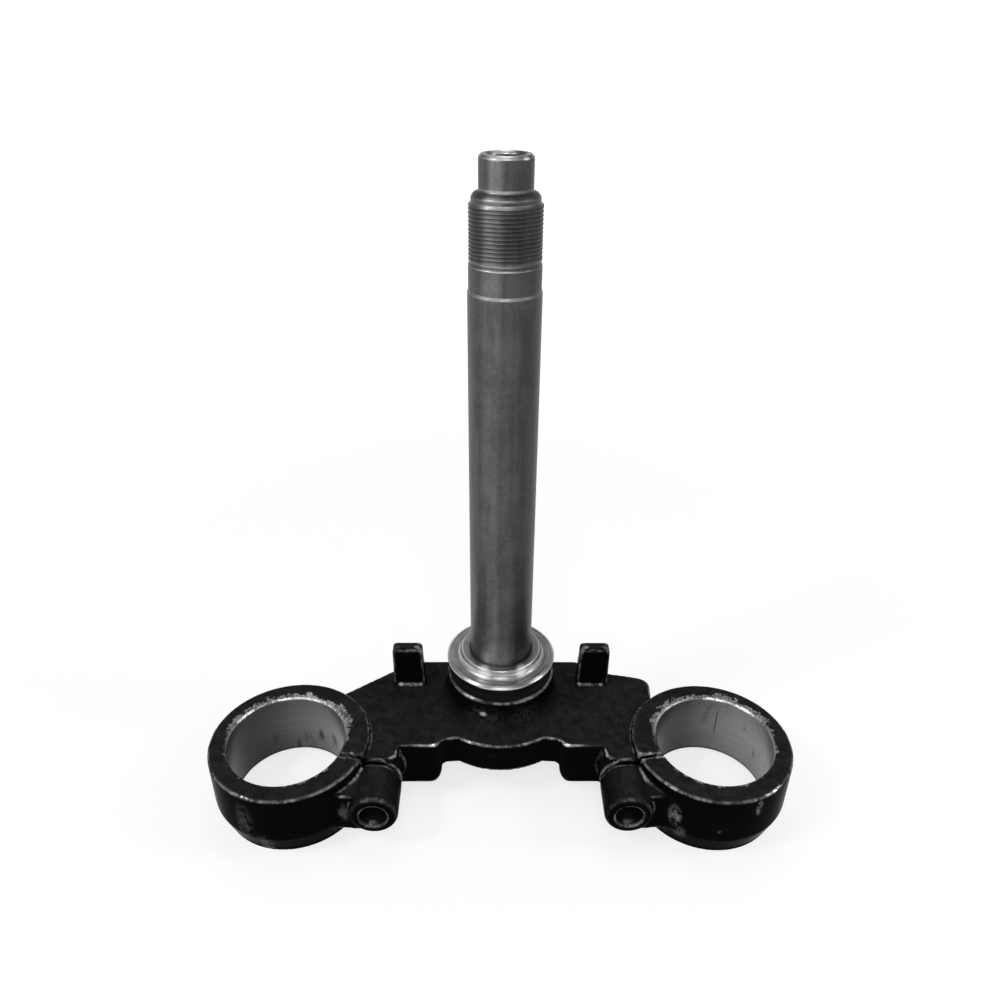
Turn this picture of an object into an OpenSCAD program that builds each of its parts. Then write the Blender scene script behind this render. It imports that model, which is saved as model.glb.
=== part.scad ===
// Lower triple clamp of a small motorcycle, with its pressed-in steering stem, the lower bearing race
// and its dust seal.
// Frame: millimetres, +Z up along the steering axis, -Y forward to the fork legs, +X to the right seen
// from the front.
// The origin is on the steering axis, on the hub face that carries the dust seal.

/* [Fork clamps] */
// Distance between the two fork axes
fork_spacing = 181.6; // [170:0.2:200]
// How far the fork axes lie in front of the steering axis
fork_offset = 32; // [28:1:38]
// Bore of each fork clamp
clamp_bore_d = 49; // [44:0.5:51]
// Wall thickness of the clamp rings
clamp_wall = 9.1; // [8:0.1:10]
// How far the outside of a ring is set off from its bore's axis, towards the middle
clamp_shift = 1.3; // [0:0.1:1.6]
// How far the outside of the left ring is set back from its bore's axis
clamp_left_back = 0.7; // [0:0.1:1.4]
// Height of the clamp rings
clamp_height = 33; // [30:1:38]
// How far the outside of a ring draws in towards its foot
clamp_draft = 3.4; // [2:0.1:4.2]
// How far down the straight part of the outside wall reaches
clamp_straight = 22; // [15:1:24]
// Edge radius on the outside of the rings
clamp_edge_r = 1; // [0.8:0.1:2]
// Edge radius round the foot of the rings
clamp_foot_edge_r = 0.8; // [0.4:0.1:1.2]
// Chamfer at the upper mouth of each bore
mouth_chamfer = 0.8; // [0.4:0.1:1.4]
// Chamfer at the lower mouth of each bore
foot_chamfer = 2.6; // [1.5:0.1:3]

/* [Plate and arms] */
// How far the top of the plate lies under the hub face
hub_rise = 14.5; // [12:0.5:18]
// How far the clamp rings stand above the plate
ring_rise = 2.5; // [1.5:0.25:4]
// Thickness of the plate round the hub
plate_thick = 14.3; // [12.5:0.1:16]
// Depth of the arms, whose skirts hang lower than the plate
arm_depth = 22.1; // [19:0.1:25]
// Distance of the straight back edge behind the steering axis
plate_back = 20.5; // [18:0.5:23]
// How far the straight back edge reaches to the left
back_left = 41.6; // [38:0.2:45]
// How far the straight back edge reaches to the right
back_right = 36.4; // [33:0.2:42]
// How far the right arm's back lies in front of the straight back edge
back_drop = 8.2; // [6:0.2:10]
// Distance from the middle at which the slope down to the right arm's back ends
slope_x = 49.9; // [47:0.1:54]
// Distance of the right arm's rounded shoulder from the middle, at its centre
shoulder_x = 63.3; // [58:0.1:63.6]
// Distance of the shoulder's centre behind the steering axis
shoulder_y = 3.2; // [1:0.1:4]
// Radius of the shoulder
shoulder_r = 6; // [5:0.1:8]
// Radius of the rounded middle of the front edge, about the steering axis
nose_r = 34; // [32:0.5:36]
// How far the arms' front faces stand in front of the fork axes
arm_front = 1.3; // [0.5:0.1:3]
// Distance of the arms' inner front corners from the middle
arm_inner = 25.6; // [25:0.1:29]
// Radius on the arms' inner front corners
arm_corner_r = 4; // [3:0.5:5]
// Height of the web above the pockets under the arms
pocket_roof = 11; // [8:0.5:14]
// Wall thickness round the pockets
pocket_wall = 6.5; // [5:0.5:8]
// Corner radius of the pockets
pocket_r = 4; // [2:0.5:5]
// Radius along the lower inner edges of the arms
skirt_r = 5; // [2:0.5:7]

/* [Hub] */
// Diameter of the hub under the dust seal
hub_d = 47; // [44:0.5:50]
// Radius of the sweep between the hub and the plate
hub_sweep = 8.5; // [6:0.5:10]
// Edge radius round the hub face
hub_edge_r = 1.2; // [0.6:0.2:1.8]
// Diameter of the boss under the plate
hub_foot_d = 42; // [38:0.5:46]
// How far the boss hangs under the plate
hub_foot = 9.5; // [6:0.5:12]
// Diameter of the neck that carries the bearing race
neck_d = 33; // [31:0.5:36]
// Height of the neck
neck_h = 7.2; // [6:0.2:9]

/* [Pinch bosses] */
// Diameter of the round bosses for the pinch bolts
boss_d = 20; // [18:0.5:21]
// Distance of a boss axis from the outside of its ring
boss_gap = 4.4; // [4:0.1:7]
// Depth of the boss axes under the ring tops
boss_drop = 12.9; // [12:0.1:14]
// Length of the free half of a boss, in front of the slit
boss_front = 18.7; // [16:0.1:22]
// Length of the tapped half of a boss, behind the slit
boss_rear = 18; // [14:0.5:20]
// Rounding of the front edge of a boss
boss_edge_r = 2.6; // [1.5:0.1:3]
// Distance of the slit in front of the fork axes
slit_offset = 10; // [8:0.5:12]
// Width of the slit
slit_w = 1.6; // [1:0.1:2.5]
// How far the slit turns away from the boss towards the bore
slit_tilt = 5; // [0:1:7]
// Clearance hole for the pinch bolt
bolt_hole_d = 10.6; // [8.4:0.1:11]
// Core of the tapped half
bolt_core_d = 8.5; // [6.6:0.1:8.5]
// Radius of the rounded mouth of the clearance hole
bolt_mouth_r = 1.3; // [0.6:0.1:1.8]
// Depth of the tapped hole behind the slit
bolt_core_depth = 15; // [12:0.5:16]

/* [Steering stops] */
// Distance of the left stop's outer side from the middle
stop_left_x = 48.8; // [46:0.2:51]
// Distance of the right stop's outer side from the middle
stop_right_x = 49.4; // [46:0.2:52]
// Width of a stop at its foot
stop_w = 14.2; // [12:0.2:17]
// How far a stop's inner side draws in towards the top
stop_draw = 0.8; // [0:0.2:3]
// Thickness of a stop
stop_t = 6.4; // [5:0.2:8]
// Height of a stop above the plate
stop_h = 22.6; // [16:0.2:25]
// Distance of the stops' front faces behind the steering axis
stop_y = 3; // [1:0.2:5]
// Radius on the stops' upper corners
stop_corner_r = 3; // [1:0.2:3.2]
// Bevel along the stops' upper front edges
stop_bevel = 2; // [1:0.2:3]
// Width of the flare round a stop's foot
stop_flare = 1.6; // [1:0.2:2.4]

/* [Steering stem] */
// Outside of the stem tube
stem_d = 26.5; // [25:0.1:28]
// Length of the plain tube above the hub face
stem_plain = 171.2; // [140:0.2:200]
// How far the tube's foot stands out under the boss below the plate
stem_proud = 1; // [0.5:0.1:3]
// Wall thickness of the tube
stem_wall = 4.25; // [3.75:0.05:5.25]
// Diameter of the upper bearing journal
journal_d = 25.7; // [24.6:0.1:26]
// Length of the journal
journal_h = 9.7; // [7:0.1:13]
// Diameter over the thread
thread_d = 25.4; // [24.4:0.1:25.6]
// Length of the thread
thread_h = 18.5; // [14:0.5:22]
// Width of the run-out groove under the thread
runout_h = 0.6; // [0.5:0.1:1.6]
// Depth of the run-out groove
runout_depth = 0.5; // [0.4:0.1:0.9]
// Height of the step between the thread and the spigot
shoulder_h = 4.3; // [3.6:0.1:6]
// Diameter of the step
shoulder_d = 23.6; // [22:0.1:24.4]
// Diameter of the top spigot
spigot_d = 18.5; // [17:0.1:19.5]
// Height of the top spigot
spigot_h = 11.4; // [8:0.1:13]
// Core of the tapped hole in the top of the stem
top_core_d = 12.5; // [10:0.1:13]
// Depth of the tapped hole
top_core_h = 26; // [20:1:32]
// Chamfer on the stem's ends
stem_chamfer = 0.9; // [0.5:0.1:1.2]

/* [Lower race] */
// Outside of the lower bearing race
race_d = 47.4; // [46.9:0.1:49]
// Height of the race over the neck
race_h = 4.9; // [4.6:0.1:6]
// Height of the rim outside the ball track
rim_h = 1.8; // [1.6:0.1:2.2]
// Width of the bevel on the rim's outer edge
rim_bevel = 1.1; // [0.6:0.1:1.3]
// Diameter of the race's raised collar
collar_d = 34.4; // [33.6:0.1:34.8]
// Radius of the ball track
track_r = 3; // [2.8:0.1:3.1]
// Thickness left under the ball track
track_floor = 1.1; // [0.9:0.1:1.3]

/* [Dust seal] */
// Width of the seal from the neck to its lips
seal_w = 6.25; // [4:0.05:6.6]
// Depth of the groove between the seal's lips
seal_groove = 1.3; // [0.6:0.1:2]

/* [Fits] */
// Radial gap where the stem is pressed into the hub and the race
press_gap = 0.02; // [0.01:0.01:0.05]
// Gap between the dust seal and what it sits on
seal_gap = 0.05; // [0.02:0.01:0.2]

/* [Hidden] */
$fn = 96;
over = 1;
steps = 6;

clamp_x = fork_spacing / 2;
clamp_bore_r = clamp_bore_d / 2;
clamp_r = clamp_bore_r + clamp_wall;
ring_x = clamp_x - clamp_shift;
plate_top = -hub_rise;
plate_bottom = plate_top - plate_thick;
ring_top = plate_top + ring_rise;
ring_bottom = ring_top - clamp_height;
arm_bottom = plate_top - arm_depth;
arm_y = -fork_offset - arm_front;
slit_y = -fork_offset - slit_offset;
hub_foot_z = plate_bottom - hub_foot;
boss_x = ring_x - clamp_r - boss_gap;
boss_z = ring_top - boss_drop;
boss_r = boss_d / 2;
front_y = slit_y - slit_w / 2 - boss_front;
rear_y = slit_y + slit_w / 2 + boss_rear;
hub_r = hub_d / 2;
journal_z = stem_plain;
thread_z = journal_z + journal_h;
shoulder_z = thread_z + thread_h;
spigot_z = shoulder_z + shoulder_h;
stem_top = spigot_z + spigot_h;
race_z = neck_h;
stem_fit_r = stem_d / 2 + press_gap;
stem_bore_r = stem_d / 2 - stem_wall;
stem_foot_z = hub_foot_z - stem_proud;

// Points of an arc about a centre, from one angle to another
function arc(cx, cy, r, from, to, n = steps) =
    [for (i = [0:n]) let (a = from + (to - from) * i / n) [cx + r * cos(a), cy + r * sin(a)]];

// One fork clamp ring about its own axis, its top at z = 0, with the outside drawn in towards the foot
module clamp_ring() {
    e = clamp_edge_r;
    f = clamp_foot_edge_r;
    foot_r = clamp_r - clamp_draft;
    rotate_extrude()
        polygon(concat(
            [[clamp_bore_r / 2, -clamp_height], [foot_r - f, -clamp_height]],
            arc(foot_r - f, -clamp_height + f, f, -90, -15, 4),
            [[clamp_r, -clamp_straight]],
            arc(clamp_r - e, -e, e, 0, 90, 4),
            [[clamp_bore_r / 2, 0]]
        ));
}

// The bore of a clamp with its two chamfered mouths
module clamp_bore() {
    rotate_extrude()
        polygon([
            [0, -clamp_height - over],
            [clamp_bore_r + foot_chamfer + over, -clamp_height - over],
            [clamp_bore_r, -clamp_height + foot_chamfer],
            [clamp_bore_r, -mouth_chamfer],
            [clamp_bore_r + mouth_chamfer + over, over],
            [0, over]
        ]);
}

// Outline of one arm from above, from the middle of the part to its clamp, round the given back points
module arm_outline(back_points) {
    r = arm_corner_r;
    boss_in = boss_x - 0.75 * boss_r;
    polygon(concat(
        [[-over, plate_back]],
        back_points,
        [
            [clamp_x - clamp_bore_r * 0.8, -fork_offset],
            [boss_x + boss_r * 0.7, slit_y + slit_w],
            [boss_in + 0.4 * r, slit_y + slit_w],
            [boss_in, slit_y + slit_w + 0.5 * r],
            [boss_in - 0.15 * r, arm_y]
        ],
        arc(arm_inner + r, arm_y + r, r, -90, -160, 4),
        [
            [arm_inner - 0.4 * r, arm_y + 0.95 * r],
            [arm_inner - 1.1 * r, arm_y + 1.05 * r],
            [-over, arm_y + 2 * r]
        ]
    ));
}

// A point at a share of the ring's radius from the middle of a ring
function by_clamp(share, angle) =
    [ring_x + share * clamp_r * cos(angle), -fork_offset + share * clamp_r * sin(angle)];

// Back of the left arm: a straight run that slants from the back edge to the clamp
function left_back() = [[back_left, plate_back], by_clamp(1.185, 124), by_clamp(1.035, 121)];

// Back of the right arm: a shallow slope, then a rounded shoulder beside the clamp
function right_back() = concat(
    [
        [back_right, plate_back],
        [slope_x, plate_back - back_drop],
        [shoulder_x - 0.42 * shoulder_r, shoulder_y + 1.16 * shoulder_r]
    ],
    arc(shoulder_x, shoulder_y, shoulder_r, 78, 0, 5),
    [by_clamp(0.963, 131.6)]
);

// Outline of the whole plate from above
module plate_outline() {
    arm_outline(right_back());
    mirror([1, 0])
        arm_outline(left_back());
    intersection() {
        circle(r = nose_r);
        translate([-nose_r, -nose_r - over])
            square([2 * nose_r, nose_r + over + plate_back]);
    }
}

// The room under the plate between the arms' skirts, whose lower inner edges are rounded
module under_plate() {
    r = skirt_r;
    translate([0, 3 * nose_r, 0])
        rotate([90, 0, 0])
            linear_extrude(height = 6 * nose_r)
                polygon(concat(
                    [[-arm_inner - r, arm_bottom - over]],
                    arc(-arm_inner - r, arm_bottom + r, r, -90, 0),
                    [[-arm_inner, plate_bottom], [arm_inner, plate_bottom]],
                    arc(arm_inner + r, arm_bottom + r, r, 180, 270),
                    [[arm_inner + r, arm_bottom - over]]
                ));
    translate([-fork_spacing / 2, stop_y + stop_t, arm_bottom - over])
        cube([fork_spacing, plate_back, plate_bottom - arm_bottom + over]);
}

// A pocket under one arm, open below, with rounded corners
module arm_pocket() {
    r = pocket_r;
    x0 = arm_inner + pocket_wall;
    x1 = ring_x - clamp_r - pocket_wall / 2;
    y0 = rear_y + pocket_wall / 3;
    y1 = stop_y + stop_t - pocket_wall;
    translate([0, 0, arm_bottom - over])
        linear_extrude(height = arm_depth - pocket_roof + over)
            polygon(concat(
                arc(x1 - r, y1 - r, r, 0, 90, 4),
                arc(x0 + r, y1 - r, r, 90, 180, 4),
                arc(x0 + r, y0 + r, r, 180, 270, 4),
                arc(x1 - r, y0 + r, r, 270, 360, 4)
            ));
}

// Plate and arms with their skirts
module plate() {
    difference() {
        translate([0, 0, arm_bottom])
            linear_extrude(height = arm_depth)
                plate_outline();
        under_plate();
        arm_pocket();
        mirror([1, 0, 0])
            arm_pocket();
    }
}

// Hub about the steering axis, with the neck for the race on top and the boss under the plate
module hub() {
    e = hub_edge_r;
    foot_r = hub_foot_d / 2;
    rotate_extrude()
        polygon(concat(
            [[0, hub_foot_z], [foot_r - e, hub_foot_z]],
            arc(foot_r - e, hub_foot_z + e, e, -90, 0, 3),
            [[foot_r + 0.6, plate_bottom + over], [hub_r, plate_bottom + 2 * over]],
            arc(hub_r - e, -e, e, 0, 90, 4),
            [[neck_d / 2, 0], [neck_d / 2, neck_h], [0, neck_h]]
        ));
}

// The sweep that runs from the hub's side out onto the plate, cut off at the plate's back edge
module hub_sweep_ring() {
    difference() {
        rotate_extrude()
            polygon(concat(
                [[hub_r / 2, plate_top - over], [hub_r + hub_sweep, plate_top - over]],
                arc(hub_r + hub_sweep, plate_top + hub_sweep, hub_sweep, 270, 180, 8),
                [[hub_r / 2, plate_top + hub_sweep]]
            ));
        translate([-2 * hub_r, plate_back, plate_top - 2 * over])
            cube([4 * hub_r, 2 * hub_r, hub_sweep + 4 * over]);
    }
}

// A round pinch boss along Y, rounded at its front, with the rib that ties its free half to the ring
module pinch_boss() {
    e = boss_edge_r;
    length = rear_y - front_y;
    translate([boss_x, front_y, boss_z])
        rotate([-90, 0, 0])
            rotate_extrude()
                polygon(concat(
                    [[0, 0]],
                    arc(boss_r - e, e, e, -90, 0, 5),
                    [[boss_r, length], [0, length]]
                ));
    translate([0, 0, boss_z - 1.2 * boss_r])
        linear_extrude(height = 1.89 * boss_r)
            polygon([
                [boss_x + 0.2 * boss_r, slit_y - over],
                [boss_x + 0.2 * boss_r, front_y + 0.4 * boss_r],
                [boss_x + 0.85 * boss_r, front_y + 0.4 * boss_r],
                [ring_x - clamp_r * 0.62, -fork_offset - clamp_r * 0.74],
                [ring_x - clamp_r * 0.88, slit_y - over]
            ]);
}

// The bolt's way through a pinch boss: a clearance hole with a rounded mouth, then the tapped core
module pinch_holes() {
    hole_r = bolt_hole_d / 2;
    m = bolt_mouth_r;
    translate([boss_x, front_y, boss_z])
        rotate([-90, 0, 0])
            rotate_extrude()
                polygon(concat(
                    [[0, -over], [hole_r + m, -over]],
                    arc(hole_r + m, m, m, 270, 180, 4),
                    [[hole_r, boss_front + slit_w / 2], [0, boss_front + slit_w / 2]]
                ));
    translate([boss_x, slit_y, boss_z])
        rotate([-90, 0, 0])
            cylinder(d = bolt_core_d, h = slit_w / 2 + bolt_core_depth);
}

// The slit that lets a clamp close, from the bore through the boss
module slit() {
    reach = boss_r + 2 * over;
    translate([boss_x, slit_y, ring_bottom - over])
        rotate([0, 0, slit_tilt])
            translate([-reach, -slit_w / 2, 0])
                cube([reach + clamp_x - clamp_bore_r / 2 - boss_x, slit_w, clamp_height + 2 * over]);
}

// An upright stop on the right: its outer side is upright and its inner side drawn in, the upper corners are
// rounded, the front edge is bevelled and the foot flares out
module steering_stop(outer_x) {
    r = stop_corner_r;
    f = stop_flare;
    base = plate_top - over;
    top = plate_top + stop_h;
    back = stop_y + stop_t;
    inner_x = outer_x - stop_w;
    intersection() {
        translate([0, back + 2 * f, 0])
            rotate([90, 0, 0])
                linear_extrude(height = stop_t + 4 * f)
                    polygon(concat(
                        [[inner_x - f, base], [outer_x + f, base]],
                        arc(outer_x + f, plate_top + f, f, 270, 180, 3),
                        arc(outer_x - r, top - r, r, 0, 90, 5),
                        arc(inner_x + stop_draw + r, top - r, r, 90, 180, 5),
                        arc(inner_x - f, plate_top + f, f, 0, -90, 3)
                    ));
        translate([inner_x - 2 * f, 0, 0])
            rotate([90, 0, 90])
                linear_extrude(height = stop_w + 4 * f)
                    polygon(concat(
                        [[stop_y - f, base], [back + f, base]],
                        arc(back + f, plate_top + f, f, 270, 180, 3),
                        arc(back - 0.4 - r, top - r, r, 0, 90, 4),
                        [[stop_y + stop_bevel * 0.6, top], [stop_y, top - stop_bevel]],
                        arc(stop_y - f, plate_top + f, f, 0, -90, 3)
                    ));
    }
}

// The forged yoke: plate, hub, two split clamps with pinch bosses, and two stops
module bottom_yoke() {
    color("#161616")
        difference() {
            union() {
                plate();
                hub();
                hub_sweep_ring();
                for (side = [0, 1])
                    mirror([side, 0, 0]) {
                        translate([ring_x, side * clamp_left_back - fork_offset, ring_top])
                            clamp_ring();
                        pinch_boss();
                    }
                steering_stop(stop_right_x);
                mirror([1, 0, 0])
                    steering_stop(stop_left_x);
            }
            translate([0, 0, hub_foot_z - over])
                cylinder(r = stem_fit_r, h = neck_h - hub_foot_z + 2 * over);
            for (side = [0, 1])
                mirror([side, 0, 0]) {
                    translate([clamp_x, -fork_offset, ring_top])
                        clamp_bore();
                    slit();
                    pinch_holes();
                }
        }
}

// The turned stem: tube, journal, thread at its outer diameter, step and top spigot, hollow all the way
module steering_stem() {
    c = stem_chamfer;
    r = stem_d / 2;
    core_r = top_core_d / 2;
    groove_r = thread_d / 2 - runout_depth;
    cone_h = stem_bore_r - core_r;
    color("#55565a")
        rotate_extrude()
            polygon([
                [stem_bore_r + c, stem_foot_z],
                [r - c, stem_foot_z],
                [r, stem_foot_z + c],
                [r, journal_z - 0.8],
                [journal_d / 2, journal_z],
                [journal_d / 2, thread_z - runout_h - 0.3],
                [groove_r, thread_z - runout_h],
                [groove_r, thread_z],
                [thread_d / 2, thread_z + runout_depth],
                [thread_d / 2, shoulder_z],
                [shoulder_d / 2, shoulder_z + 1],
                [shoulder_d / 2, spigot_z - 1.8],
                [shoulder_d / 2 - 0.9, spigot_z - 0.6],
                [spigot_d / 2 + 0.4, spigot_z],
                [spigot_d / 2, spigot_z + 0.4],
                [spigot_d / 2, stem_top - c],
                [spigot_d / 2 - c, stem_top],
                [core_r + c, stem_top],
                [core_r, stem_top - c],
                [core_r, stem_top - top_core_h],
                [stem_bore_r, stem_top - top_core_h - cone_h],
                [stem_bore_r, stem_foot_z + c]
            ]);
}

// The lower race: bevelled rim, concave ball track and raised collar round the tube
module lower_bearing_race() {
    rim_r = race_d / 2;
    collar_r = collar_d / 2;
    top = race_z + race_h;
    rim_top = race_z + rim_h;
    track_z = race_z + track_floor + track_r;
    track_end = asin((track_z - rim_top) / track_r);
    color("#9a9ca0")
        rotate_extrude()
            polygon(concat(
                [[stem_fit_r, race_z], [rim_r - 0.3, race_z], [rim_r, race_z + 0.3]],
                [[rim_r, rim_top - 0.8 * rim_bevel], [rim_r - rim_bevel, rim_top]],
                arc(collar_r + track_r, track_z, track_r, -track_end, -172, 10),
                [[collar_r, top - 0.4], [collar_r - 0.4, top]],
                [[stem_fit_r + 0.6, top], [stem_fit_r, top - 0.6]]
            ));
}

// The rubber dust seal: two lips with a groove between them, under the rim of the race
module dust_seal() {
    inner_r = neck_d / 2 + seal_gap;
    lip_r = inner_r + seal_w;
    top = neck_h - seal_gap;
    color("#0b0b0b")
        rotate_extrude()
            polygon([
                [inner_r, seal_gap],
                [lip_r - 0.5, seal_gap],
                [lip_r, seal_gap + 0.5],
                [lip_r, 0.3 * neck_h],
                [lip_r - seal_groove, 0.42 * neck_h],
                [lip_r - seal_groove, 0.58 * neck_h],
                [lip_r, 0.72 * neck_h],
                [lip_r, top - 0.5],
                [lip_r - 0.5, top],
                [inner_r, top]
            ]);
}

bottom_yoke();
steering_stem();
lower_bearing_race();
dust_seal();
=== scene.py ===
"""Lower fork yoke of a small motorcycle, with its steering stem, lower bearing race and dust seal, on a pale floor.

The CAD model is loaded as a fixed frame. Each of its four nodes is replaced by a dressed piece at the same place: the
yoke becomes a casting with blended corners and freshly cut bores, and the stem, race and seal are turned on a lathe.

Lengths are in millimetres and colours are linear levels of grey, unless said otherwise. In the names of fields, _r
ends a radius, _x a distance from the middle, and _y and _z a place along that axis.
"""

import logging
import math
from contextlib import contextmanager
from dataclasses import dataclass, field
from enum import Enum
from typing import Iterable, Iterator, Sequence

import bmesh
import bpy
from mathutils import Matrix, Vector


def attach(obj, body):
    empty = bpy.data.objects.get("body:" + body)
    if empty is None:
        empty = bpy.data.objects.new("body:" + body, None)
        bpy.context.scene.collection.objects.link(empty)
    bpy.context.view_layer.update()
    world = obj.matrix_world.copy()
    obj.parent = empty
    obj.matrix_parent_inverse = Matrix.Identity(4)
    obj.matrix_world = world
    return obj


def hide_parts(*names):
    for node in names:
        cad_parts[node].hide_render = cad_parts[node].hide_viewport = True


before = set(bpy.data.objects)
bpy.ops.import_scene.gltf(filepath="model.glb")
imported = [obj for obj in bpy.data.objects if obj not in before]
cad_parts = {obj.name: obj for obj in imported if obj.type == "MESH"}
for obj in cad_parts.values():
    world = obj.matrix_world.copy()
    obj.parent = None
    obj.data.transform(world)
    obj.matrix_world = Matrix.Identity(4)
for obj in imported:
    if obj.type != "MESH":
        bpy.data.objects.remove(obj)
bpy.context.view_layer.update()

log = logging.getLogger("yoke_scene")
MM = 0.001  # metres in a millimetre
WELD = 1e-6  # metres below which two vertices are one
FORK_X = 90.8  # distance of the fork axes from the middle
FORK_Y = -32.0
CLAMP_R = 24.5  # radius of the clamp bores
Piece = bpy.types.Object
Socket = bpy.types.NodeSocket
Point = tuple[float, float]
Place = tuple[float, float, float]
Patch = tuple[Place, Place]


class Side(Enum):
    """The two fork legs, as seen from the front."""

    LEFT = -1
    RIGHT = 1


class Turn(Enum):
    """How far a lathe piece is divided round its axis."""

    FINE = 160
    COARSE = 96


# Work at the bench: selecting, turning, cutting and finishing meshes


def clear_selection() -> None:
    """Leaves edit mode and deselects every object."""
    if bpy.context.object is not None and bpy.context.object.mode != "OBJECT":
        bpy.ops.object.mode_set(mode="OBJECT")
    bpy.ops.object.select_all(action="DESELECT")


def take_up(piece: Piece) -> None:
    """Makes a piece the only selected and the active object.

    Args:
        piece: The object to work on.
    """
    clear_selection()
    piece.select_set(True)
    bpy.context.view_layer.objects.active = piece


@contextmanager
def editing(piece: Piece) -> Iterator[None]:
    """Opens a piece in edit mode, all of it selected, for the length of a block.

    Args:
        piece: The object to edit.
    """
    take_up(piece)
    bpy.ops.object.mode_set(mode="EDIT")
    bpy.ops.mesh.select_all(action="SELECT")
    yield
    bpy.ops.object.mode_set(mode="OBJECT")


def apply_modifier(piece: Piece, kind: str, **settings: object) -> None:
    """Adds a modifier and applies it at once.

    Args:
        piece: The object that gets the modifier.
        kind: The modifier's type.
        **settings: Values for the modifier's fields.
    """
    take_up(piece)
    modifier = piece.modifiers.new(kind.title(), kind)
    for name, value in settings.items():
        setattr(modifier, name, value)
    bpy.ops.object.modifier_apply(modifier=modifier.name)


def count_triangles(piece: Piece) -> int:
    """Counts a piece's triangles."""
    return sum(len(face.vertices) - 2 for face in piece.data.polygons)


def soften(piece: Piece, width: float, segments: int = 2) -> None:
    """Rounds a piece's sharp corners.

    Args:
        piece: The object to round.
        width: Width of the rounding.
        segments: How many strips the rounding gets.
    """
    limit = math.radians(20)
    apply_modifier(piece, "BEVEL", width=width * MM, segments=segments, limit_method="ANGLE", angle_limit=limit)


def dress(piece: Piece, angle: float, material: bpy.types.Material) -> None:
    """Smooths a piece's shading and gives it its material.

    Args:
        piece: The finished object.
        angle: Corners sharper than this stay sharp, in degrees.
        material: The material for all of its faces.
    """
    take_up(piece)
    bpy.ops.object.shade_smooth_by_angle(angle=math.radians(angle))
    piece.data.materials.clear()
    piece.data.materials.append(material)


def drawn(corners: Sequence[Point], base: float = 0.0) -> Piece:
    """Draws a line from corner to corner in the XZ plane.

    Args:
        corners: Radius and height of each corner.
        base: Height that the corners' heights are measured from.

    Returns:
        The line, an object without faces.
    """
    clear_selection()
    bpy.ops.mesh.primitive_plane_add(size=MM)
    line = bpy.context.object
    with editing(line):
        bpy.ops.mesh.merge(type="CENTER")
        bpy.ops.transform.translate(value=(corners[0][0] * MM, 0, (base + corners[0][1]) * MM))
        for (r0, z0), (r1, z1) in zip(corners, corners[1:]):
            step = ((r1 - r0) * MM, 0, (z1 - z0) * MM)
            bpy.ops.mesh.extrude_region_move(TRANSFORM_OT_translate={"value": step})
    return line


def turned(name: str, profile: Sequence[Point], steps: Turn = Turn.FINE) -> Piece:
    """Turns a closed profile about the Z axis, as on a lathe.

    Args:
        name: Name of the new piece.
        profile: Radius and height of each corner, in millimetres, in order.
        steps: How many steps the turn is divided into.

    Returns:
        The closed piece, its faces pointing outwards.
    """
    piece = drawn([*profile, profile[0]])
    piece.name = name
    with editing(piece):
        bpy.ops.mesh.spin(steps=steps.value, angle=2 * math.pi, center=(0, 0, 0), axis=(0, 0, 1))
        bpy.ops.mesh.select_all(action="SELECT")
        bpy.ops.mesh.remove_doubles(threshold=2 * WELD)
        bpy.ops.mesh.normals_make_consistent(inside=False)
    return piece


def arc(centre: Point, radius: float, start: float, end: float, steps: int = 5) -> list[Point]:
    """Gives points along an arc.

    Args:
        centre: Centre of the arc.
        radius: Radius of the arc.
        start: First angle, in degrees.
        end: Last angle, in degrees.
        steps: How many chords the arc gets.

    Returns:
        The points, first and last included.
    """
    angles = [math.radians(start + (end - start) * i / steps) for i in range(steps + 1)]
    return [(centre[0] + radius * math.cos(a), centre[1] + radius * math.sin(a)) for a in angles]


def lay_along_y(piece: Piece) -> None:
    """Turns a piece made along +Z so that it points along +Y.

    Args:
        piece: The object whose mesh is turned about the X axis.
    """
    with editing(piece):
        for vertex in bmesh.from_edit_mesh(piece.data).verts:
            vertex.co = Vector((vertex.co.x, vertex.co.z, -vertex.co.y))
        bmesh.update_edit_mesh(piece.data)


def shift(piece: Piece, *way: float) -> None:
    """Moves a piece's mesh and leaves its object at the origin.

    Args:
        piece: The object whose mesh moves.
        *way: Distances along X, Y and Z.
    """
    with editing(piece):
        bpy.ops.transform.translate(value=[distance * MM for distance in way])


def join(pieces: Sequence[Piece]) -> Piece:
    """Joins pieces into the first of them.

    Args:
        pieces: The objects to join.

    Returns:
        The joined object.
    """
    take_up(pieces[0])
    for piece in pieces[1:]:
        piece.select_set(True)
    bpy.ops.object.join()
    return pieces[0]


def cut_with(piece: Piece, cutter: Piece) -> None:
    """Cuts a tool's shape out of a piece and puts the tool away.

    Args:
        piece: The object that is cut.
        cutter: The object that is taken out of it and removed.
    """
    apply_modifier(piece, "BOOLEAN", operation="DIFFERENCE", solver="EXACT", object=cutter)
    bpy.data.objects.remove(cutter, do_unlink=True)


# Finishes


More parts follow.
